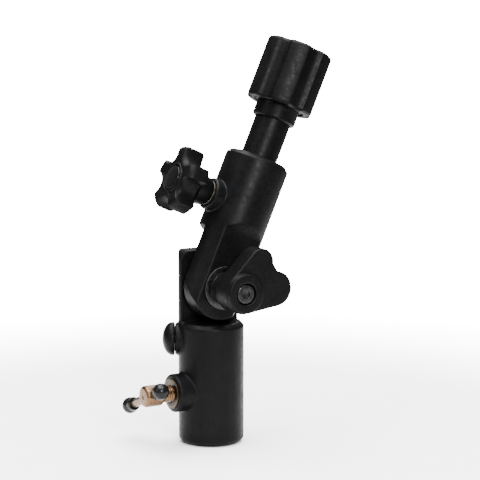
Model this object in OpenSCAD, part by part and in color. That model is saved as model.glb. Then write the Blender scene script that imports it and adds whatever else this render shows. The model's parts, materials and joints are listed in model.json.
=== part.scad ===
// Umbrella swivel bracket: a lower receiver for a grip stud, a tilt joint with
// a clamping lever, and an upper receiver whose stem and fluted collar hold an
// umbrella shaft. Millimetres; the origin is the centre of the stud socket's mouth.

/* [Receivers] */
// Outside diameter of both receiver barrels
barrel_d = 32; // [31:0.5:34]
// Height of the tilt pivot above the socket mouth
pivot_z = 78; // [76:1:90]
// Length of the upper receiver from the pivot to its mouth
upper_reach = 66; // [64:1:74]
// Lean of the upper receiver from upright at rest
tilt = 24; // [0:1:45]
// Bore of the stud socket
socket_d = 16.2; // [16.0:0.05:16.4]

/* [Shaft holder] */
// Outside diameter of the stem tube
stem_d = 18; // [17.8:0.1:18.2]
// Bore of the stem tube, which takes the umbrella shaft
shaft_d = 14.4; // [14.1:0.1:14.6]
// Length of stem that shows between the receiver and the collar
stem_show = 27.5; // [24:0.5:32]
// Outside diameter of the fluted collar
collar_d = 34; // [33:0.5:38]
// Length of the fluted collar
collar_h = 31.5; // [31:0.5:34]
// Number of flutes round the collar
collar_flutes = 6; // [5:1:8]

/* [Controls] */
// Height of the stud lock screw
lock_z = 26; // [24:0.5:27]
// Height of the safety plunger
plunger_z = 51; // [49:0.5:51]
// Distance of the star knob's screw from the pivot
knob_s = 40.5; // [40:0.5:44]
// Diameter of the star knob
star_d = 33; // [30:0.5:34]
// Number of points on the star knob
star_points = 5; // [4:1:6]
// Number of teeth on each rosette
rosette_teeth = 24; // [16:2:30]

/* [Hidden] */
$fn = 64;

eps = 0.1;                 // overshoot of a cut past the face that it opens
coat = [0.07, 0.07, 0.075];
moulding = [0.05, 0.05, 0.05];
yellow_zinc = [0.74, 0.62, 0.36];
steel = [0.70, 0.70, 0.71];
brass = [0.78, 0.63, 0.33];

barrel_r = barrel_d / 2;
ear_gap = 1.5;             // from the tilt plane to each ear's inner face
ear_face = 12;             // from the tilt plane to each ear's outer flat
ear_corner = 5;            // corner radius of the lower ear's square top
flat_reach = 28;           // how far the outer flat runs past the pivot
lower_shoulder = barrel_r + 2;   // from the pivot down to the full lower barrel
upper_shoulder = barrel_r + 8;   // and up to the full upper barrel, clear of the corners
shoulder_chamfer = 2;
recess_r = 13.2;           // pocket for the rosette
spring_pocket_r = 6.6;
socket_r = socket_d / 2;
socket_depth = 55;

bolt_r = 4;                // M8 thread, at its outside
thread_gap = 0.06;         // running clearance round each screw
hole_gap = 0.2;            // clearance round a screw where it only passes through
press_gap = 0.02;          // between pieces that are pressed together
m8_pitch = 1.25;
bore_stop = 12;            // how far each pad's hole runs out from the axis
pad_r = 3.6;
pad_tail_r = 1.9;          // the pad's tail, which the screw's tip turns on
lock_boss_end = 22;        // from the axis to the stud lock boss's face
lock_head = 33;            // from the axis to the middle of the lock screw's head
lock_head_r = 5.2;
bar_r = 2.2;
bar_lean = 22;             // slope of the sliding bar at rest
bar_long = 25;             // from the lock screw to the far cap's middle
bar_short = 10.6;          // from the lock screw to the near cap's middle
cap_r = 4;
cap_skirt = 5;             // from a cap's middle to its open end

knob_boss_end = 20;
plunger_azimuth = 150;
plunger_boss_r = 8;
plunger_boss_end = 17.6;
bush_r = 5;                // the plunger's bush and its pocket
bush_foot = 11;
lock_boss_r = 9.4;
knob_boss_r = 8;
pivot_bush_r = 6;
hub_r = 9.4;               // the lever's round hub
knob_face = 30;            // from the receiver's axis to the star's inner face
knob_top = 41.5;           // and to its outer face

stem_r = stem_d / 2;
shaft_r = shaft_d / 2;
upper_bore_r = stem_r + 0.05;
stem_foot = 27.3;          // from the pivot to the stem's lower end
collar_foot = upper_reach + stem_show;
collar_top = collar_foot + collar_h;
sleeve_r = 12.4;
neck_r = 10.8;             // the sleeve's bare neck below the collar
neck_h = 7.5;
stem_top = collar_top - 13;
collar_pitch = 2;

washer_t = 1.6;
insert_r = 6.4;
bolt_end = 20;             // from the tilt plane to the bolt's tip
insert_end = 24.5;         // and to the lever insert's outer end
shelf_end = 26.9;          // and to the handle's shelf, which the lift spring bears on
screw_seat = 32;           // and to the underside of the lever screw's head
handle_end = 35;
bulb = [17.5, 1];          // middle of the handle's round end, across and up from the bolt
bulb_r = 8.5;
thumb = [9.5, 14.5];       // middle of the handle's thumb rest
thumb_r = 6.5;

// Places local +Z radially outward at an azimuth and a height.
module radial(azimuth, height)
    translate([0, 0, height]) rotate([0, 0, azimuth]) rotate([0, 90, 0]) children();

// Places the upper receiver's own frame, with its pivot at the origin.
module leaning()
    translate([0, 0, pivot_z]) rotate([0, tilt, 0]) children();

// Places local +Z along the tilt bolt, outward on the lever's side.
module lever_side()
    translate([0, 0, pivot_z]) rotate([90, 0, 0]) children();

module tube(outer, inner, low, high)
    difference() {
        translate([0, 0, low]) cylinder(r = outer, h = high - low);
        translate([0, 0, low - eps]) cylinder(r = inner, h = high - low + 2 * eps);
    }

module rod(radius, low, high)
    translate([0, 0, low]) cylinder(r = radius, h = high - low);

// A rod with a 45-degree chamfer at both ends.
module soft_rod(radius, low, high, chamfer)
    rotate_extrude()
        polygon([
            [0, low], [radius - chamfer, low], [radius, low + chamfer],
            [radius, high - chamfer], [radius - chamfer, high], [0, high]
        ]);

// A screw's thread, as a row of shallow grooves cut round a rod.
module thread_grooves(radius, low, high, pitch)
    for (z = [low : pitch : high])
        translate([0, 0, z])
            rotate_extrude()
                polygon([[radius - 0.5, 0], [radius + 0.3, -0.45], [radius + 0.3, 0.45]]);

// A coil spring: an eight-sided wire swept along a helix.
module coil(mean_r, wire_r, low, high, turns) {
    sides = 8;
    steps = 20 * turns;
    lift = high - low - 2 * wire_r;
    points = [
        for (i = [0 : steps])
            for (j = [0 : sides - 1])
                let (
                    around = 18 * i,
                    across = 360 * j / sides,
                    r = mean_r + wire_r * cos(across)
                )
                [
                    r * cos(around),
                    r * sin(around),
                    low + wire_r + lift * i / steps + wire_r * sin(across)
                ]
    ];
    walls = [
        for (i = [0 : steps - 1])
            for (j = [0 : sides - 1])
                let (k = (j + 1) % sides)
                [i * sides + j, (i + 1) * sides + j, (i + 1) * sides + k, i * sides + k]
    ];
    first = [for (j = [0 : sides - 1]) j];
    last = [for (j = [sides - 1 : -1 : 0]) steps * sides + j];
    polyhedron(points, concat([first], walls, [last]));
}

// An ear's outline, across and up, with the pivot at the origin.
module round_ear(foot) {
    circle(r = barrel_r);
    translate([-barrel_r, -foot]) square([barrel_d, foot]);
}

module square_ear(foot) {
    top = barrel_r + 1;
    inset = barrel_r - ear_corner;
    translate([-barrel_r, -foot]) square([barrel_d, foot + top - ear_corner]);
    translate([-inset, -foot]) square([2 * inset, foot + top]);
    for (side = [-1, 1])
        translate([side * inset, top - ear_corner]) circle(r = ear_corner);
}

// Half of the swivel: a barrel along -Z with the pivot at the origin. Its child
// is the outline of the ear at +Y.
module receiver_half(reach, shoulder)
    difference() {
        union() {
            soft_rod(barrel_r, -reach, -shoulder, shoulder_chamfer);
            intersection() {
                rod(barrel_r, -shoulder - 8, 2 * barrel_r);
                translate([0, ear_gap + 20, 0])
                    rotate([90, 0, 0]) linear_extrude(20) children();
            }
        }
        rotate([0, 90, 0])
            translate([0, 0, -20])
                linear_extrude(40)
                    polygon([
                        [-20, ear_face], [flat_reach, ear_face],
                        [flat_reach + 5, ear_face + 5], [-20, ear_face + 5]
                    ]);
        rotate([-90, 0, 0]) {
            rod(bolt_r + hole_gap, 0, 20);
            rod(spring_pocket_r, 0, 5.5);
            rod(recess_r, 0, 3);
        }
    }

module lower_housing() color(coat)
    difference() {
        union() {
            translate([0, 0, pivot_z])
                receiver_half(pivot_z, lower_shoulder) square_ear(lower_shoulder + 8);
            radial(180, lock_z) soft_rod(lock_boss_r, 12, lock_boss_end, 0.8);
            radial(plunger_azimuth, plunger_z)
                soft_rod(plunger_boss_r, 12, plunger_boss_end, 0.6);
        }
        rod(socket_r, -eps, socket_depth);
        radial(180, lock_z) {
            rod(bolt_r + hole_gap, 0, bore_stop);
            rod(6.5, 10.8, lock_boss_end + eps);
        }
        radial(plunger_azimuth, plunger_z) {
            rod(2.6, 0, 12);
            rod(bush_r, bush_foot, 18);
        }
    }

module upper_housing() color(coat)
    leaning()
        difference() {
            union() {
                rotate([180, 0, 0])
                    receiver_half(upper_reach, upper_shoulder) round_ear(upper_shoulder + 8);
                radial(180, knob_s) soft_rod(knob_boss_r, 12, knob_boss_end, 0.8);
            }
            rod(upper_bore_r, stem_foot - 0.3, upper_reach + eps);
            translate([0, 0, upper_reach - 1])
                cylinder(r1 = upper_bore_r, r2 = upper_bore_r + 1.1, h = 1.1);
            radial(180, knob_s) {
                rod(bolt_r + hole_gap, 0, bore_stop);
                rod(6.2, 11.2, knob_boss_end + eps);
            }
            rotate([90, 0, 0]) rod(pivot_bush_r, 0, 20);
        }

// A toothed ring that stands from z = 0.2 to 3, with its teeth towards z = 0.
module rosette() {
    tooth_h = 1.1;
    pitch = 360 / rosette_teeth;
    difference() {
        tube(13, 6.8, 0.2, 3);
        for (i = [0 : rosette_teeth - 1])
            rotate([0, 0, i * pitch])
                translate([6, 0, 0.2])
                    rotate([0, 90, 0])
                        linear_extrude(8)
                            polygon([[-tooth_h, 0], [0.01, -0.75], [0.01, 0.75]]);
    }
}

module lower_rosette() color(steel)
    translate([0, 0, pivot_z]) rotate([-90, 0, 0]) rosette();

module upper_rosette() color(steel)
    leaning() rotate([90, 0, 0]) rosette();

module pivot_bush() color(brass)
    leaning() rotate([90, 0, 0]) tube(pivot_bush_r, bolt_r + thread_gap, 5.5, ear_face - 0.1);

module release_spring() color(steel)
    lever_side() coil(5.2, 0.55, -5.4, 5.4, 5);

module tilt_bolt() color(steel)
    translate([0, 0, pivot_z])
        rotate([-90, 0, 0]) {
            difference() {
                union() {
                    intersection() {
                        rotate([0, 0, 30])
                            translate([0, 0, ear_face + washer_t])
                                cylinder(r = 7.5, h = 5.3, $fn = 6);
                        translate([0, 0, ear_face + washer_t - 1])
                            cylinder(r1 = 11.2, r2 = 6.6, h = 6.4);
                    }
                    rod(bolt_r, -bolt_end, ear_face + washer_t);
                }
                thread_grooves(bolt_r, 0.8 - bolt_end, -14.5, m8_pitch);
            }
        }

module bolt_washer() color(steel)
    translate([0, 0, pivot_z])
        rotate([-90, 0, 0]) tube(8.5, bolt_r + 0.2, ear_face, ear_face + washer_t);

module stud_lock_insert() color(brass)
    radial(180, lock_z)
        union() {
            tube(6.5, bolt_r + thread_gap, 10.8, lock_boss_end);
            tube(7.4, bolt_r + thread_gap, lock_boss_end, lock_boss_end + 0.6);
        }

module stud_lock_pad() color(brass)
    radial(180, lock_z) {
        soft_rod(pad_r, socket_r + 0.15, 10.3, 0.4);
        rod(pad_tail_r, 10.2, 12.4);
    }

// Local +Z runs along the sliding bar, towards its long end.
module along_bar()
    translate([-lock_head, 0, lock_z]) rotate([-90 - bar_lean, 0, 0]) children();

// The screw's head is cross-drilled for the sliding bar.
module stud_lock_screw() color(yellow_zinc)
    difference() {
        radial(180, lock_z)
            difference() {
                union() {
                    soft_rod(bolt_r, 10.45, lock_head - 3, 0.4);
                    soft_rod(lock_head_r, lock_head - 4.6, lock_head + 4.6, 1.2);
                }
                rod(pad_tail_r + 0.1, 10, 12.7);
                thread_grooves(bolt_r, 12.9, lock_head - 5.4, m8_pitch);
            }
        along_bar() rod(bar_r + 0.05, -8, 8);
    }

module stud_lock_bar() color(yellow_zinc)
    along_bar() rod(bar_r, -bar_short, bar_long);

module bar_cap()
    difference() {
        union() {
            sphere(r = cap_r);
            rod(3.3, -cap_skirt, 0);
        }
        rod(bar_r, -cap_skirt - eps, 0);
    }

module stud_lock_bar_caps() color(moulding)
    along_bar() {
        translate([0, 0, bar_long]) bar_cap();
        translate([0, 0, -bar_short]) rotate([180, 0, 0]) bar_cap();
    }

module plunger_bush() color(yellow_zinc)
    radial(plunger_azimuth, plunger_z)
        difference() {
            rod(bush_r, bush_foot, plunger_boss_end);
            rod(3.6, 10, 16.2);
            rod(1.6, 10, 18);
        }

module plunger_spring() color(steel)
    radial(plunger_azimuth, plunger_z) coil(2.5, 0.25, 12.05, 16.15, 3);

module plunger_pin() color(yellow_zinc)
    radial(plunger_azimuth, plunger_z) {
        rod(1.5, 11.9, 21.5);
        rod(3.4, 11.2, 12);
        soft_rod(2.5, socket_r + 0.12, 11.3, 0.6);
    }

module plunger_knob() color(moulding)
    radial(plunger_azimuth, plunger_z)
        difference() {
            rotate_extrude()
                polygon([
                    [0, 17.9], [7.6, 17.9], [8.2, 18.5], [7.9, 19.8],
                    [6.9, 21.2], [5.2, 22.5], [2.9, 23.5], [0, 23.9]
                ]);
            rod(1.5 + press_gap, 17, 21.5 + press_gap);
        }

module shaft_lock_insert() color(brass)
    leaning() radial(180, knob_s) tube(6.2, bolt_r + thread_gap, 11.2, knob_boss_end + 0.4);

module shaft_lock_pad() color(brass)
    leaning()
        radial(180, knob_s) {
            soft_rod(pad_r, stem_r + 0.1, 10.9, 0.4);
            rod(pad_tail_r, 10.8, 12.6);
        }

module shaft_lock_stud() color(steel)
    leaning()
        radial(180, knob_s)
            difference() {
                soft_rod(bolt_r, 11.05, 36, 0.4);
                rod(pad_tail_r + 0.1, 11, 12.9);
                thread_grooves(bolt_r, 12.9, 20.4, m8_pitch);
            }

module star_knob() color(moulding)
    leaning()
        radial(180, knob_s)
            difference() {
                union() {
                    soft_rod(star_d / 2, knob_face, knob_top, 1.5);
                    translate([0, 0, 21.4])
                        cylinder(r1 = 7, r2 = 9, h = knob_face - 21.4 + eps);
                }
                for (i = [0 : star_points - 1])
                    rotate([0, 0, 180 + (i + 0.5) * 360 / star_points])
                        translate([star_d / 2 + 1.4, 0, knob_face - 1])
                            cylinder(r = 7, h = knob_top - knob_face + 2);
                rod(bolt_r + press_gap, 21, 36 + press_gap);
                rod(6, knob_top - 1.2, knob_top + eps);
            }

module star_knob_cap() color(moulding)
    leaning() radial(180, knob_s) soft_rod(5.9, knob_top - 1.2, knob_top + 0.3, 0.3);

module stem_tube() color(coat)
    leaning() tube(stem_r, shaft_r, stem_foot, stem_top);

module collet_sleeve() color(moulding)
    leaning()
        difference() {
            union() {
                soft_rod(neck_r, collar_foot - neck_h, collar_foot + 2, 0.8);
                soft_rod(sleeve_r, collar_foot + 0.5, stem_top, 0.8);
            }
            rod(stem_r + press_gap, 0, 200);
            thread_grooves(sleeve_r, collar_foot + 3, stem_top - 2, collar_pitch);
        }

module collet() color([0.85, 0.85, 0.82])
    leaning()
        difference() {
            translate([0, 0, stem_top + 0.1])
                cylinder(r1 = 11.6, r2 = 9.6, h = 8.4);
            rod(shaft_r, 0, 200);
            for (i = [0 : 5])
                rotate([0, 0, i * 60])
                    translate([0, -0.6, stem_top + 2]) cube([14, 1.2, 8]);
        }

module collar_ring() color(steel)
    leaning() tube(11, shaft_r + 0.7, collar_top - 4.3, collar_top - 2.7);

module collar_nut() color(moulding)
    leaning()
        difference() {
            soft_rod(collar_d / 2, collar_foot, collar_top, 1.4);
            for (i = [0 : collar_flutes - 1])
                rotate([0, 0, (i + 0.5) * 360 / collar_flutes])
                    translate([collar_d / 2 + 2.8, 0, collar_foot - 1])
                        cylinder(r = 4.8, h = collar_h + 2);
            rod(sleeve_r + 0.1, 0, collar_top - 2.6);
            rod(shaft_r + 0.8, 0, 200);
        }

module lever_washer() color(steel)
    lever_side() tube(10.5, bolt_r + 0.2, ear_face + 0.05, ear_face + washer_t);

module lever_insert() color(steel)
    lever_side()
        difference() {
            union() {
                rod(8, 13.7, 15.2);
                rod(insert_r, 15.1, insert_end);
            }
            rod(bolt_r + thread_gap, 13, bolt_end + 0.5);
            rod(2.5, bolt_end, insert_end + eps);
        }

module lever_screw() color(steel)
    lever_side()
        difference() {
            union() {
                rod(2.45, 21, screw_seat + eps);
                soft_rod(4.7, screw_seat, screw_seat + 2.4, 0.4);
            }
            translate([0, 0, screw_seat + 1.1]) cylinder(r = 2.3, h = 2, $fn = 6);
        }

module lever_spring() color(steel)
    lever_side() coil(3.9, 0.35, shelf_end + 0.05, screw_seat - 0.05, 3);

// The handle's outline on its hub: an arm to the round end, one to the thumb rest,
// and a web between them.
module handle_outline() {
    hull() {
        translate(bulb) circle(r = 5, $fn = 32);
        translate(thumb) circle(r = 5, $fn = 32);
    }
    hull() {
        circle(r = 10, $fn = 32);
        translate(bulb) circle(r = bulb_r, $fn = 32);
    }
    hull() {
        circle(r = 10, $fn = 32);
        translate(thumb) circle(r = thumb_r, $fn = 32);
    }
}

module lever_handle() color(moulding)
    lever_side()
        difference() {
            union() {
                translate([0, 0, 15.5]) cylinder(r1 = hub_r - 1, r2 = hub_r, h = 7);
                rod(hub_r, 22.4, handle_end);
                translate([0, 0, 22.5]) linear_extrude(handle_end - 24.5) handle_outline();
            }
            rod(insert_r + 0.1, 15, insert_end + 0.4);
            rod(2.8, insert_end, shelf_end + eps);
            rod(5.2, shelf_end, handle_end + eps);
        }

lower_housing();
lower_rosette();
stud_lock_insert();
plunger_bush();
plunger_spring();
tilt_bolt();
bolt_washer();
release_spring();
stud_lock_pad();
stud_lock_screw();
stud_lock_bar();
stud_lock_bar_caps();
plunger_pin();
plunger_knob();
upper_housing();
upper_rosette();
pivot_bush();
shaft_lock_insert();
shaft_lock_pad();
shaft_lock_stud();
star_knob();
star_knob_cap();
stem_tube();
collet_sleeve();
collet();
collar_ring();
collar_nut();
lever_washer();
lever_insert();
lever_screw();
lever_spring();
lever_handle();
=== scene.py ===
"""Looks of the umbrella swivel bracket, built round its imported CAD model.

The CAD gives every shape and place. Here the visible castings get rounded edges, the
moulded knobs get smooth lobes, the screws get helical threads, and every piece gets a
procedural material. Lengths below are in millimetres until MM turns them into metres.
"""

import json
import math

import bmesh
import bpy
from mathutils import Matrix, Vector


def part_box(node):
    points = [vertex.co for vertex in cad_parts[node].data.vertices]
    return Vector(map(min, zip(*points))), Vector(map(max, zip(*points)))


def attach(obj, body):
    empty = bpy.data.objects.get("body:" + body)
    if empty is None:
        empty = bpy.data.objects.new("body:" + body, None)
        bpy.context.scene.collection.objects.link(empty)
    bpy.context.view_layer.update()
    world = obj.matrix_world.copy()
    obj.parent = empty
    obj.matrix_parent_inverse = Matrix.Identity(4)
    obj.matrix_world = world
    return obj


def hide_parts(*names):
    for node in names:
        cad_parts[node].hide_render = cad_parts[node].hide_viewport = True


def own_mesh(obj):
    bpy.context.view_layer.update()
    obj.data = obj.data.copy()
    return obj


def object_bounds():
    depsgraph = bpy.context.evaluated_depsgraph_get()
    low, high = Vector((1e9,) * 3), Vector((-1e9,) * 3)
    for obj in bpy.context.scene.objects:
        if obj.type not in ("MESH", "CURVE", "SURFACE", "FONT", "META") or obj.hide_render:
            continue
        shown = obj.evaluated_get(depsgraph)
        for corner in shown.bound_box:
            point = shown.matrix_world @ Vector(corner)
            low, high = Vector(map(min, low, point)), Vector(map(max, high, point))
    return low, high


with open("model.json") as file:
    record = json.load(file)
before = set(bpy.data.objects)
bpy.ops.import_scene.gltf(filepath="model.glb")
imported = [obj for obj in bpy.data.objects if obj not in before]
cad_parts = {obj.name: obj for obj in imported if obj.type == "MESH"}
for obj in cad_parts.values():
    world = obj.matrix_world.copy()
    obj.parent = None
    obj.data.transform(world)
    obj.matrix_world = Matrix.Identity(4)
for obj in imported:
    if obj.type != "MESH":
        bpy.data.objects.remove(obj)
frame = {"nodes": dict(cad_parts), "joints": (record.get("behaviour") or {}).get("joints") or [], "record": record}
cad_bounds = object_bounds()

MM = 0.001
NODES = frame["nodes"]
BODIES = frame["record"]["behaviour"]["bodies"]
BODY_OF = {node: body for body, members in BODIES.items() for node in members}
JOINTS = {joint["name"]: joint for joint in frame["joints"]}
MOUNTS = {mount["name"]: mount for mount in frame["record"]["mounts"]}


# ---------------------------------------------------------------- places from the frame
def place(origin, axis, across=(0, 1, 0)):
    """A matrix whose +Z runs along axis from origin, with +X as near to across as it can be."""
    z = Vector(axis).normalized()
    x = (Vector(across) - z * Vector(across).dot(z)).normalized()
    turn = Matrix((x, z.cross(x), z)).transposed()
    return Matrix.Translation(Vector(origin)) @ turn.to_4x4()


def span(node, where):
    """(lowest, highest) of a node along +Z of a place, and its largest radius round it, in mm."""
    inverse = where.inverted()
    points = [inverse @ vertex.co for vertex in NODES[node].data.vertices]
    heights = [point.z / MM for point in points]
    return min(heights), max(heights), max(point.xy.length for point in points) / MM


PIVOT = Vector(JOINTS["tilt"]["pos_m"])
UP = Vector(MOUNTS["umbrella_shaft"]["axis"]).normalized()
STEM = place(PIVOT, UP, (1, 0, 0))
LOCK = place((0, 0, JOINTS["stud_lock_turn"]["pos_m"][2]), JOINTS["stud_lock_turn"]["axis"])
KNOB_AXIS = JOINTS["shaft_lock_turn"]["axis"]
KNOB = place(JOINTS["shaft_lock_turn"]["pos_m"], KNOB_AXIS, UP)
PLUNGER = place((0, 0, 0), JOINTS["plunger_pull"]["axis"], (0, 0, 1))
knob_low, knob_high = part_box("plunger_knob")
PLUNGER.translation = Vector((0, 0, (knob_low.z + knob_high.z) / 2))

THREAD_PITCH = 1.25  # of the stud lock's screw and the star knob's stud
THREAD_DEPTH = 0.62
BAR_BELOW_END = 4.6  # from the screw's outer end to the middle of the sliding bar


# ---------------------------------------------------------------- materials
class Look:
    """One procedural material, built up in the piece's own coordinates."""

    def __init__(self, name, colour, roughness, metallic=0.0, **sockets):
        self.material = bpy.data.materials.new(name)
        self.material.use_nodes = True
        self.tree = self.material.node_tree
        self.shader = self.tree.nodes["Principled BSDF"]
        self.shader.inputs["Base Color"].default_value = (*colour, 1)
        self.shader.inputs["Roughness"].default_value = roughness
        self.shader.inputs["Metallic"].default_value = metallic
        for socket, value in sockets.items():
            self.shader.inputs[socket.replace("_", " ")].default_value = value
        self.colour = colour
        self.where = self.tree.nodes.new("ShaderNodeTexCoord").outputs["Object"]
        self.height = None

    def node(self, kind, inputs=(), **settings):
        """A new node with its settings, and its inputs set to values or linked to sockets."""
        made = self.tree.nodes.new(kind)
        for key, value in settings.items():
            setattr(made, key, value)
        for socket, value in dict(inputs).items():
            if isinstance(value, bpy.types.NodeSocket):
                self.tree.links.new(value, made.inputs[socket])
            else:
                made.inputs[socket].default_value = value
        return made

    def noise(self, size, detail=2.0, roughness=0.5, where=None):
        """Noise whose features are about size mm across."""
        inputs = {
            "Vector": where or self.where,
            "Scale": 1 / (size * MM),
            "Detail": detail,
            "Roughness": roughness,
        }
        return self.node("ShaderNodeTexNoise", inputs).outputs["Fac"]

    def cells(self, size):
        """Distance inside round cells about size mm across."""
        inputs = {"Vector": self.where, "Scale": 1 / (size * MM)}
        return self.node("ShaderNodeTexVoronoi", inputs, feature="F1").outputs["Distance"]

    def remap(self, value, low, high, to_low=0.0, to_high=1.0, **settings):
        """Carries value from the range low to high onto another range."""
        inputs = {
            "Value": value,
            "From Min": low,
            "From Max": high,
            "To Min": to_low,
            "To Max": to_high,
        }
        return self.node("ShaderNodeMapRange", inputs, **settings).outputs["Result"]

    def maths(self, operation, a, b=0.0):
        """One operation on two values or sockets."""
        return self.node("ShaderNodeMath", {0: a, 1: b}, operation=operation).outputs[0]

    def stretched(self, axis, along, across):
        """Coordinates stretched for lines that run round an axis: along and across are feature sizes."""
        unit = Vector(axis).normalized()
        inputs = {0: self.where, 1: unit}
        height = self.node("ShaderNodeVectorMath", inputs, operation="DOT_PRODUCT").outputs["Value"]
        scaled = self.maths("MULTIPLY", height, 1 / (along * MM) * (across * MM))
        return self.node("ShaderNodeCombineXYZ", {"X": scaled}).outputs[0]

    def edges(self, radius, low=0.02, high=0.12):
        """1 on a convex or concave edge and 0 on a flat, from a bevelled normal."""
        soft = self.node("ShaderNodeBevel", {"Radius": radius * MM}, samples=6).outputs[0]
        flat = self.node("ShaderNodeNewGeometry").outputs["Normal"]
        inputs = {0: soft, 1: flat}
        same = self.node("ShaderNodeVectorMath", inputs, operation="DOT_PRODUCT").outputs["Value"]
        return self.remap(self.maths("SUBTRACT", 1.0, same), low, high)

    def tint(self, amount, other):
        """Mixes another colour into the base colour by amount."""
        mix = self.node("ShaderNodeMix", data_type="RGBA")
        base = self.shader.inputs["Base Color"]
        if base.is_linked:
            self.tree.links.new(base.links[0].from_socket, mix.inputs["A"])
        else:
            mix.inputs["A"].default_value = base.default_value
        mix.inputs["B"].default_value = (*other, 1)
        self.tree.links.new(amount, mix.inputs["Factor"])
        self.tree.links.new(mix.outputs["Result"], base)

    def gloss(self, value, low, high, rough_low, rough_high):
        """Drives the roughness from value."""
        mapped = self.remap(value, low, high, rough_low, rough_high)
        self.tree.links.new(mapped, self.shader.inputs["Roughness"])

    def relief(self, value, depth, strength=1.0):
        """Adds a bump of depth mm."""
        inputs = {"Height": value, "Distance": depth * MM, "Strength": strength}
        if self.height:
            inputs["Normal"] = self.height
        self.height = self.node("ShaderNodeBump", inputs).outputs[0]
        self.tree.links.new(self.height, self.shader.inputs["Normal"])


def powder_coat():
    """Satin black powder coat: orange peel, faint mottling and rubbed edges."""
    look = Look("satin_powder_coat", (0.0016, 0.0016, 0.0018), 0.44, Specular_IOR_Level=0.05)
    mottle = look.noise(9, 3)
    look.tint(look.remap(mottle, 0.42, 0.7, 0, 0.55), (0.003, 0.003, 0.0034))
    dust = look.maths("MULTIPLY", look.noise(3.5, 4, 0.65), look.noise(0.35, 2))
    look.tint(look.remap(dust, 0.32, 0.52, 0, 0.1), (0.02, 0.0195, 0.019))
    rubbed = look.maths("MULTIPLY", look.edges(0.7), look.remap(look.noise(2.4, 4, 0.7), 0.45, 0.62))
    look.tint(look.maths("MULTIPLY", rubbed, 0.4), (0.014, 0.0137, 0.0134))
    look.gloss(look.noise(2.6, 3), 0.3, 0.7, 0.33, 0.5)
    look.relief(look.noise(0.85, 1.5), 0.035, 0.55)
    look.relief(look.noise(0.22, 1), 0.01, 0.45)
    return look.material


def moulded(name, colour, grain, roughness):
    """Spark-textured black moulding, polished where hands touch its edges."""
    look = Look(name, colour, roughness, Specular_IOR_Level=0.055)
    lighter = tuple(1.9 * c for c in colour)
    look.tint(look.remap(look.noise(6, 3), 0.4, 0.7, 0, 0.6), lighter)
    handled = look.maths("MULTIPLY", look.edges(1.1, 0.015, 0.14), look.remap(look.noise(1.7, 4), 0.35, 0.6))
    look.tint(look.maths("MULTIPLY", handled, 0.5), tuple(4.5 * c for c in colour))
    dust = look.maths("MULTIPLY", look.noise(4, 4, 0.7), look.noise(0.3, 2))
    look.tint(look.remap(dust, 0.34, 0.52, 0, 0.1), (0.018, 0.0175, 0.017))
    look.gloss(look.noise(1.9, 3), 0.3, 0.7, roughness - 0.09, roughness + 0.09)
    look.relief(look.cells(grain), 0.03, 0.5)
    look.relief(look.noise(grain * 2.6, 2), 0.03, 0.3)
    return look.material


def smooth_cap():
    """A glossy moulded cap with fine handling scratches."""
    look = Look("gloss_cap", (0.0018, 0.0018, 0.002), 0.24, Specular_IOR_Level=0.14)
    scratches = look.noise(0.5, 3, 0.6, look.stretched((0.3, 0.8, 0.5), 0.05, 0.5))
    look.tint(look.remap(scratches, 0.62, 0.75, 0, 0.3), (0.06, 0.06, 0.06))
    look.gloss(look.noise(1.4, 4), 0.35, 0.7, 0.16, 0.38)
    look.relief(scratches, 0.006, 0.35)
    look.relief(look.noise(1.1, 2), 0.02, 0.2)
    return look.material


def turned_metal(name, axis, colour, tarnish, roughness):
    """Plated or bare metal with turning marks round an axis and cloudy tarnish."""
    look = Look(name, colour, roughness, 1.0)
    look.tint(look.remap(look.noise(2.2, 4, 0.6), 0.4, 0.68, 0, 0.75), tarnish)
    lines = look.noise(0.5, 3, 0.65, look.stretched(axis, 0.09, 0.5))
    look.tint(look.remap(lines, 0.55, 0.8, 0, 0.35), tuple(0.45 * c for c in colour))
    grime = look.maths("MULTIPLY", look.edges(0.5), look.remap(look.noise(0.9, 3), 0.4, 0.6))
    look.tint(look.maths("MULTIPLY", grime, 0.5), tuple(0.3 * c for c in tarnish))
    look.gloss(look.noise(1.3, 4, 0.6), 0.3, 0.7, roughness - 0.09, roughness + 0.12)
    look.relief(lines, 0.006, 0.5)
    look.relief(look.noise(0.3, 2), 0.006, 0.3)
    return look.material


def nylon():
    """Natural moulded nylon, slightly translucent."""
    look = Look("natural_nylon", (0.66, 0.64, 0.57), 0.42, Subsurface_Weight=0.15, Subsurface_Scale=0.002)
    look.tint(look.remap(look.noise(3, 3), 0.4, 0.7, 0, 0.5), (0.56, 0.53, 0.44))
    look.gloss(look.noise(1.2, 3), 0.3, 0.7, 0.35, 0.52)
    look.relief(look.noise(0.4, 2), 0.012, 0.4)
    return look.material


def floor_paper(fade_from, fade_to):
    """Pale studio paper with a faint tooth, which fades to nothing between two distances in m."""
    look = Look("studio_paper", (0.86, 0.86, 0.855), 0.85)
    look.tint(look.remap(look.noise(40, 4), 0.4, 0.7, 0, 0.35), (0.82, 0.82, 0.815))
    look.relief(look.noise(0.7, 3), 0.05, 0.25)
    reach = look.node("ShaderNodeVectorMath", {0: look.where}, operation="LENGTH").outputs["Value"]
    fade = look.remap(reach, fade_from, fade_to, interpolation_type="SMOOTHSTEP")
    clear = look.node("ShaderNodeBsdfTransparent").outputs[0]
    mix = look.node("ShaderNodeMixShader", {0: fade, 1: look.shader.outputs[0], 2: clear})
    look.tree.links.new(mix.outputs[0], look.tree.nodes["Material Output"].inputs["Surface"])
    return look.material


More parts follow.
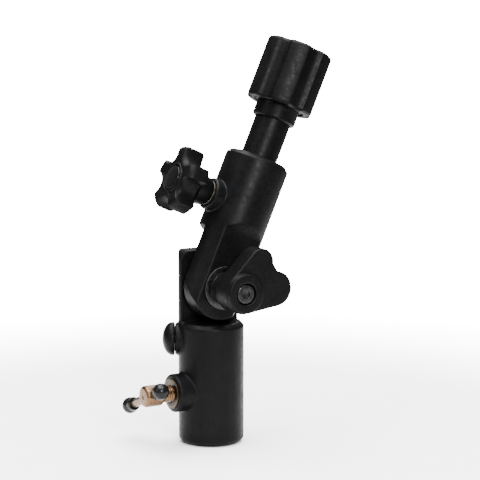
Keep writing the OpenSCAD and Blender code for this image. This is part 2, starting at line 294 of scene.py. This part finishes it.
ALONG_X = (1, 0, 0)
ALONG_Y = (0, 1, 0)
YELLOW = (0.12, 0.072, 0.036)
YELLOW_TARNISH = (0.1, 0.05, 0.036)
STEEL = (0.24, 0.24, 0.25)
STEEL_TARNISH = (0.14, 0.14, 0.145)
BRASS = (0.66, 0.46, 0.19)
BRASS_TARNISH = (0.42, 0.27, 0.11)
WIRE = (0.36, 0.36, 0.38)
WIRE_TARNISH = (0.2, 0.19, 0.19)
OXIDE = (0.03, 0.03, 0.031)
OXIDE_TARNISH = (0.014, 0.0135, 0.0135)
# the inserts' one dull brass as lit and shaded copies: darkened as painted shade for the low insert, lightened and
# greyed as a painted highlight for the high insert
SHADE_PAINTED_BRASS = (0.045, 0.033, 0.019)
SHADE_PAINTED_TARNISH = (0.02, 0.015, 0.01)
HIGHLIGHT_PAINTED_BRASS = (0.07, 0.062, 0.05)
HIGHLIGHT_PAINTED_TARNISH = (0.03, 0.026, 0.021)

COAT = powder_coat()
PLASTIC = moulded("textured_black_moulding", (0.0014, 0.0014, 0.0016), 0.32, 0.44)
FINE_PLASTIC = moulded("fine_black_moulding", (0.0013, 0.0013, 0.0015), 0.2, 0.4)
CAP = smooth_cap()
NYLON = nylon()
YELLOW_X = turned_metal("yellow_zinc_screw", ALONG_X, YELLOW, YELLOW_TARNISH, 0.3)
YELLOW_BAR = turned_metal("yellow_zinc_bar", (0, 0.93, -0.37), YELLOW, YELLOW_TARNISH, 0.28)
STEEL_Y = turned_metal("zinc_steel_bolt", ALONG_Y, STEEL, STEEL_TARNISH, 0.34)
STEEL_KNOB = turned_metal("zinc_steel_stud", KNOB_AXIS, STEEL, STEEL_TARNISH, 0.34)
STEEL_STEM = turned_metal("steel_thrust_ring", UP, STEEL, STEEL_TARNISH, 0.3)
SPRING_WIRE = turned_metal("drawn_spring_wire", ALONG_Y, WIRE, WIRE_TARNISH, 0.33)
# one dull brass in two tones: painted shade on the low insert, painted highlight on the high insert
SHADE_PAINTED_INSERT_X = turned_metal("insert_brass_painted_shade", ALONG_X, SHADE_PAINTED_BRASS, SHADE_PAINTED_TARNISH, 0.36)
HIGHLIGHT_PAINTED_INSERT_KNOB = turned_metal("insert_brass_painted_highlight", KNOB_AXIS, HIGHLIGHT_PAINTED_BRASS, HIGHLIGHT_PAINTED_TARNISH, 0.34)
BLACK_OXIDE = turned_metal("black_oxide_steel", ALONG_Y, OXIDE, OXIDE_TARNISH, 0.36)
BRASS_X = turned_metal("turned_brass_low", ALONG_X, BRASS, BRASS_TARNISH, 0.27)
BRASS_KNOB = turned_metal("turned_brass_high", KNOB_AXIS, BRASS, BRASS_TARNISH, 0.27)
BRASS_Y = turned_metal("turned_brass_bush", ALONG_Y, BRASS, BRASS_TARNISH, 0.27)

MATERIAL_OF = {
    "lower_housing": COAT,
    "upper_housing": COAT,
    "stem_tube": COAT,
    "lower_rosette": STEEL_Y,
    "upper_rosette": STEEL_Y,
    "tilt_bolt": STEEL_Y,
    "bolt_washer": STEEL_Y,
    "lever_washer": BLACK_OXIDE,
    "lever_insert": BLACK_OXIDE,
    "lever_screw": BLACK_OXIDE,
    "release_spring": SPRING_WIRE,
    "lever_spring": SPRING_WIRE,
    "plunger_spring": SPRING_WIRE,
    "shaft_lock_stud": STEEL_KNOB,
    "collar_ring": STEEL_STEM,
    # its brass darkened as painted shade
    "stud_lock_insert": SHADE_PAINTED_INSERT_X,
    "stud_lock_pad": BRASS_X,
    "pivot_bush": BRASS_Y,
    # its brass lightened and greyed as a painted highlight
    "shaft_lock_insert": HIGHLIGHT_PAINTED_INSERT_KNOB,
    "shaft_lock_pad": BRASS_KNOB,
    "stud_lock_screw": YELLOW_X,
    "stud_lock_bar": YELLOW_BAR,
    "plunger_bush": YELLOW_X,
    "plunger_pin": YELLOW_X,
    "stud_lock_bar_caps": CAP,
    "star_knob_cap": CAP,
    "plunger_knob": FINE_PLASTIC,
    "star_knob": PLASTIC,
    "collet_sleeve": FINE_PLASTIC,
    "collar_nut": PLASTIC,
    "lever_handle": PLASTIC,
    "collet": NYLON,
}
for node, material in MATERIAL_OF.items():
    for material_slot in NODES[node].material_slots:
        material_slot.material = material


# ---------------------------------------------------------------- pieces
def adopt(piece, node, smooth=40):
    """Stands a finished piece in for a CAD node: its body, slot and material.

    Edges that turn by less than smooth degrees are shaded smooth."""
    piece.data.materials.clear()
    piece.data.materials.append(MATERIAL_OF[node])
    piece.data.shade_smooth()
    piece.data.set_sharp_from_angle(angle=math.radians(smooth))
    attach(piece, BODY_OF[node])
    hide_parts(node)
    return piece


def new_piece(name, mesh):
    """An object for a mesh, in the scene."""
    piece = bpy.data.objects.new(name, mesh)
    bpy.context.scene.collection.objects.link(piece)
    return piece


def apply_modifiers(piece):
    """Turns the piece's modifiers into plain mesh."""
    graph = bpy.context.evaluated_depsgraph_get()
    graph.update()
    mesh = bpy.data.meshes.new_from_object(piece.evaluated_get(graph))
    piece.modifiers.clear()
    piece.data = mesh


def cad_copy(node, name):
    """A piece with the CAD node's shape, its split vertices joined."""
    mesh = NODES[node].data.copy()
    work = bmesh.new()
    work.from_mesh(mesh)
    bmesh.ops.remove_doubles(work, verts=work.verts, dist=0.002 * MM)
    work.to_mesh(mesh)
    work.free()
    return new_piece(name, mesh)


def softened(node, width):
    """The CAD node's shape with its sharp edges rounded to width mm."""
    piece = cad_copy(node, node + "_soft")
    bevel = piece.modifiers.new("edges", "BEVEL")
    bevel.width = width * MM
    bevel.segments = 3
    bevel.limit_method = "ANGLE"
    bevel.angle_limit = math.radians(26)
    bevel.use_clamp_overlap = False
    apply_modifiers(piece)
    return adopt(piece, node)


def melted(node, voxel, rounds):
    """The CAD node's shape, remeshed finely and smoothed until its edges flow like a moulding's."""
    piece = cad_copy(node, node + "_moulded")
    remesh = piece.modifiers.new("voxels", "REMESH")
    remesh.mode = "VOXEL"
    remesh.voxel_size = voxel * MM
    smooth = piece.modifiers.new("flow", "SMOOTH")
    smooth.factor = 0.5
    smooth.iterations = rounds
    apply_modifiers(piece)
    return adopt(piece, node, 60)


def coil_spring(node):
    """The CAD node's spring, as a piece with a mesh of its own."""
    piece = adopt(cad_copy(node, node + "_coil"), node)
    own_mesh(piece)


def revolve(name, where, profile, shape=None, around=96, closed=False):
    """A piece turned round +Z of a place from (radius, height, share) points in mm.

    shape(angle, radius, height, share) gives the radius at each angle. A closed
    profile makes a ring. An open one is a solid when it starts and ends on the axis."""
    verts = []
    for radius, height, share in profile:
        for step in range(around):
            angle = 2 * math.pi * step / around
            r = shape(angle, radius, height, share) if shape else radius
            verts.append(where @ (Vector((r * math.cos(angle), r * math.sin(angle), height)) * MM))
    rows = len(profile)
    faces = []
    for row in range(rows if closed else rows - 1):
        here, there = row * around, (row + 1) % rows * around
        for step in range(around):
            after = (step + 1) % around
            faces.append((here + step, here + after, there + after, there + step))
    mesh = bpy.data.meshes.new(name)
    mesh.from_pydata([tuple(v) for v in verts], [], faces)
    work = bmesh.new()
    work.from_mesh(mesh)
    bmesh.ops.remove_doubles(work, verts=work.verts, dist=0.001 * MM)
    bmesh.ops.recalc_face_normals(work, faces=work.faces)
    work.to_mesh(mesh)
    work.free()
    return new_piece(name, mesh)


def arc(centre, radius, start, end, share=0, steps=5):
    """Profile points on an arc in the (radius, height) plane, by angle in degrees."""
    points = []
    for step in range(steps + 1):
        angle = math.radians(start + (end - start) * step / steps)
        points.append(
            (centre[0] + radius * math.cos(angle), centre[1] + radius * math.sin(angle), share)
        )
    return points


def scallops(count, rim, cut_r, cut_at, phase, soft=0.35):
    """A radius for a rim with round scallops cut into it, their corners eased by soft mm."""

    def shape(angle, radius, height, share):
        pitch = 2 * math.pi / count
        off = (angle - phase + pitch / 2) % pitch - pitch / 2
        inside = cut_r**2 - (cut_at * math.sin(off)) ** 2
        if inside > 0:
            bound = cut_at * math.cos(off) - math.sqrt(inside)
        else:
            bound = rim + 9 * soft  # far enough out to leave the rim uncut
        eased = -soft * math.log(math.exp(-bound / soft + rim / soft) + 1) + rim
        return radius - share * (rim - eased)

    return shape


def thread(pitch, depth, low, high):
    """A radius for a right-hand thread between two heights, fading out at both ends."""

    def shape(angle, radius, height, share):
        turn = (height / pitch - angle / (2 * math.pi)) % 1
        fade = max(0, min(1, (height - low) / pitch, (high - height) / pitch))
        return radius - share * fade * depth * abs(2 * turn - 1)

    return shape


def shank(radius, low, high, pitch):
    """Profile points close enough together along a shank to carry its thread."""
    points_per_turn = 8
    count = int((high - low) / pitch * points_per_turn)
    return [(radius, low + (high - low) * i / count, 1) for i in range(count + 1)]


def star_knob():
    """The star knob: a flared foot under a head with rounded lobes."""
    lobes = 5
    head_height = 11.5
    foot, top, rim = span("star_knob", KNOB)
    face = top - head_height
    shape = scallops(lobes, rim, cut_r=7.2, cut_at=rim + 1.6, phase=math.pi / lobes)
    profile = [(0, foot, 0), (6.4, foot, 0), (7, foot + 0.5, 0), (8.2, face - 2, 0)]
    profile += arc((10.6, face - 2), 2.2, 180, 100, 0, 4)
    profile += [(rim - 3.2, face + 0.35, 0.9)]
    profile += arc((rim - 2.4, face + 2.7), 2.4, -80, 0, 1, 6)
    profile += arc((rim - 3.2, top - 3.2), 3.2, 0, 78, 1, 7)
    profile += [(12.2, top - 0.25, 0.8), (9, top - 0.7, 0.25), (7.8, top - 0.85, 0)]
    profile += arc((7, top - 0.5), 0.5, 0, 180, 0, 5)
    profile += [(6.2, top - 1.2, 0), (0, top - 1.2, 0)]
    return adopt(revolve("star_knob_moulded", KNOB, profile, shape, 240), "star_knob")


def star_knob_cap():
    """The slightly crowned cap in the star knob's face."""
    low_end, high_end, radius = span("star_knob_cap", KNOB)
    profile = [(0, low_end, 0), (radius, low_end, 0)]
    profile += arc((radius - 0.45, high_end - 0.75), 0.45, 0, 70, 0, 4)
    profile += [(radius * 0.6, high_end - 0.12, 0), (radius * 0.3, high_end - 0.02, 0), (0, high_end, 0)]
    return adopt(revolve("star_knob_cap_moulded", KNOB, profile), "star_knob_cap")


def collar_nut():
    """The fluted collar: a wide bore below its thrust ring and a narrow mouth above."""
    flutes = 6
    bore = 12.55
    mouth = 8.05
    foot, top, rim = span("collar_nut", STEM)
    shoulder = span("collar_ring", STEM)[0] + 1.7
    shape = scallops(flutes, rim, cut_r=5.2, cut_at=rim + 3.1, phase=math.pi / flutes, soft=0.45)
    profile = [(bore, foot + 0.8, 0), (bore + 0.6, foot, 0), (rim - 2.6, foot, 0.6)]
    profile += arc((rim - 1.5, foot + 1.5), 1.5, -75, 0, 1, 6)
    profile += [(rim, foot + (top - foot) * share, 1) for share in (0.3, 0.5, 0.7)]
    profile += arc((rim - 2.2, top - 2.2), 2.2, 0, 80, 1, 7)
    profile += [(13, top - 0.25, 0.2), (12.2, top - 0.35, 0), (11.8, top - 0.75, 0)]
    profile += [(10, top - 0.75, 0), (9.6, top - 0.35, 0), (8.9, top - 0.3, 0)]
    profile += arc((8.9, top - 1.1), 0.8, 90, 180, 0, 4)
    profile += [(mouth, shoulder, 0), (bore, shoulder, 0)]
    return adopt(revolve("collar_nut_moulded", STEM, profile, shape, 240, True), "collar_nut")


def plunger_knob():
    """The plunger's round knob: a short skirt under a dome that is a quarter ellipse."""
    steps = 14
    foot, top, rim = span("plunger_knob", PLUNGER)
    skirt = foot + 0.9
    profile = [(0, foot, 0), (rim - 1.1, foot, 0)]
    profile += arc((rim - 0.6, foot + 0.6), 0.6, -90, -10, 0, 5)
    for step in range(steps + 1):
        angle = math.radians(90 * step / steps)
        profile.append((rim * math.cos(angle), skirt + (top - skirt) * math.sin(angle), 0))
    return adopt(revolve("plunger_knob_moulded", PLUNGER, profile, None, 120), "plunger_knob")


def lock_screw():
    """The stud lock's screw, with its helical thread and the chamfered hole for the bar."""
    radius = 4
    head_length = 9.2
    hole_r = 2.26
    flare_r = 3.6
    outside = 7
    tip, end, head_r = span("stud_lock_screw", LOCK)
    neck = end - head_length
    land = head_r - 0.95
    profile = [(0, tip, 0), (radius - 0.6, tip, 0), (radius, tip + 0.6, 0)]
    profile += shank(radius, tip + 1, neck - 0.2, THREAD_PITCH)
    profile += [(radius - 0.3, neck, 0), (head_r - 1.2, neck, 0)]
    profile += arc((head_r - 1.2, neck + 1.2), 1.2, -90, 0, 0, 6)
    profile += arc((head_r - 1.4, end - 1.4), 1.4, 0, 90, 0, 6)
    profile += [(1.4, end, 0), (1.2, end - 0.25, 0), (0, end - 0.5, 0)]
    shape = thread(THREAD_PITCH, THREAD_DEPTH, tip + 1, neck - 0.4)
    piece = revolve("stud_lock_screw_threaded", LOCK, profile, shape)
    centre = LOCK @ (Vector((0, 0, end - BAR_BELOW_END)) * MM)
    across = place(centre, JOINTS["stud_bar_slide"]["axis"], (1, 0, 0))
    hole = [(0, -outside, 0), (flare_r, -outside, 0), (hole_r, -land, 0)]
    hole += [(hole_r, land, 0), (flare_r, outside, 0), (0, outside, 0)]
    cutter = revolve("cutter", across, hole, None, 64)
    cut = piece.modifiers.new("hole", "BOOLEAN")
    cut.operation = "DIFFERENCE"
    cut.solver = "EXACT"
    cut.object = cutter
    apply_modifiers(piece)
    bpy.data.objects.remove(cutter)
    return adopt(piece, "stud_lock_screw", 35)


def bar_caps():
    """The two pressed-on caps of the sliding bar, as one piece, each open where the bar goes in."""
    axis = -Vector(JOINTS["stud_bar_slide"]["axis"])
    head = LOCK @ (Vector((0, 0, span("stud_lock_screw", LOCK)[1] - BAR_BELOW_END)) * MM)
    bar = place(head, axis, (1, 0, 0))
    low_end, high_end, ball = span("stud_lock_bar_caps", bar)
    caps = []
    for name, side, centre in (("far", 1, high_end - ball), ("near", -1, -low_end - ball)):
        profile = [(2.2, centre - 4, 0), (2.2, centre - 5, 0), (2.9, centre - 5, 0)]
        profile += arc((2.9, centre - 4.6), 0.4, -90, 0, 0, 4)
        profile += [(3.32, centre - 3.4, 0), (3.4, centre - 2.6, 0)]
        profile += arc((0, centre), ball, -30, 90, 0, 16)
        ends = [(r, side * h, share) for r, h, share in profile]
        caps.append(revolve("cap_" + name, bar, ends, None, 64))
    work = bmesh.new()
    for cap in caps:
        work.from_mesh(cap.data)
        bpy.data.objects.remove(cap)
    mesh = bpy.data.meshes.new("stud_lock_bar_caps_moulded")
    work.to_mesh(mesh)
    work.free()
    return adopt(new_piece(mesh.name, mesh), "stud_lock_bar_caps")


def knob_stud():
    """The star knob's threaded stud, plain where it goes into the knob."""
    plain_length = 12
    tip, end, radius = span("shaft_lock_stud", KNOB)
    profile = [(0, tip, 0), (radius - 0.6, tip, 0), (radius, tip + 0.6, 0)]
    profile += shank(radius, tip + 1, end - plain_length, THREAD_PITCH)
    profile += [(radius, end, 0), (0, end, 0)]
    shape = thread(THREAD_PITCH, THREAD_DEPTH, tip + 1, end - plain_length)
    return adopt(revolve("shaft_lock_stud_threaded", KNOB, profile, shape), "shaft_lock_stud", 35)


# the width in mm that each node's sharp edges are rounded to
SOFT_EDGES = {
    "stem_tube": 0.4,
    "collet_sleeve": 0.2,
    "lower_rosette": 0.12,
    "upper_rosette": 0.12,
    "tilt_bolt": 0.2,
    "bolt_washer": 0.25,
    "lever_washer": 0.25,
    "lever_insert": 0.3,
    "lever_screw": 0.2,
    "collar_ring": 0.2,
    "collet": 0.15,
    "stud_lock_insert": 0.2,
    "shaft_lock_insert": 0.2,
    "plunger_bush": 0.2,
    "stud_lock_bar": 0.2,
}
for soft_node, soft_width in SOFT_EDGES.items():
    softened(soft_node, soft_width)
melted("lever_handle", 0.36, 16)
melted("lower_housing", 0.42, 4)
melted("upper_housing", 0.42, 4)
coil_spring("lever_spring")
coil_spring("plunger_spring")
star_knob()
star_knob_cap()
collar_nut()
plunger_knob()
lock_screw()
bar_caps()
knob_stud()


# ---------------------------------------------------------------- stage
FLOOR_RADIUS = 0.6
FLOOR_HEIGHT = -0.0002  # just under the object, in m
bpy.ops.mesh.primitive_circle_add(
    vertices=128, radius=FLOOR_RADIUS, fill_type="NGON", location=(0, 0, FLOOR_HEIGHT)
)
floor = bpy.context.object
floor.name = "floor"
floor.data.materials.append(floor_paper(fade_from=0.16, fade_to=0.5))


def studio_world(backdrop, bounce):
    """A white backdrop, which lights the object less than it shines in the view."""
    world = bpy.data.worlds.new("studio")
    world.use_nodes = True
    tree = world.node_tree
    path = tree.nodes.new("ShaderNodeLightPath")
    strength = tree.nodes.new("ShaderNodeMapRange")
    strength.inputs["To Min"].default_value = bounce
    strength.inputs["To Max"].default_value = backdrop
    tree.links.new(path.outputs["Is Camera Ray"], strength.inputs["Value"])
    tree.links.new(strength.outputs["Result"], tree.nodes["Background"].inputs["Strength"])
    tree.nodes["Background"].inputs["Color"].default_value = (1, 1, 1, 1)
    bpy.context.scene.world = world


studio_world(backdrop=24.0, bounce=0.3)


def towards(azimuth, elevation):
    """The direction from the object to a camera or light at these angles in degrees."""
    turn = math.radians(azimuth)
    rise = math.radians(elevation)
    return Vector((math.sin(turn) * math.cos(rise), -math.cos(turn) * math.cos(rise), math.sin(rise)))


def soft_light(name, azimuth, elevation, distance, size, power, target):
    """A square area light aimed at target, placed by azimuth and elevation like the camera."""
    way = towards(azimuth, elevation)
    data = bpy.data.lights.new(name, "AREA")
    data.shape = "SQUARE"
    data.size = size
    data.energy = power
    light = bpy.data.objects.new(name, data)
    light.location = target + way * distance
    light.rotation_euler = way.to_track_quat("Z", "Y").to_euler()
    bpy.context.scene.collection.objects.link(light)


VIEW_AZIMUTH = -30
VIEW_ELEVATION = 8
CAMERA_DISTANCE = 0.88
low, high = cad_bounds
middle = (Vector(low) + Vector(high)) / 2
soft_light("overhead", VIEW_AZIMUTH, 88, distance=1.3, size=1.6, power=150, target=middle)
soft_light("key", VIEW_AZIMUTH + 14, 22, distance=1.2, size=0.3, power=26, target=middle)
soft_light("fill", VIEW_AZIMUTH - 60, 20, distance=1.4, size=0.6, power=6, target=middle)
soft_light("back", VIEW_AZIMUTH + 170, 40, distance=1.3, size=0.6, power=10, target=middle)

camera_data = bpy.data.cameras.new("camera")
camera_data.lens = 135
camera_data.sensor_width = 36
camera = bpy.data.objects.new("camera", camera_data)
to_camera = towards(VIEW_AZIMUTH, VIEW_ELEVATION)
camera.location = middle + to_camera * CAMERA_DISTANCE
camera.rotation_euler = to_camera.to_track_quat("Z", "Y").to_euler()
bpy.context.scene.collection.objects.link(camera)
bpy.context.scene.camera = camera
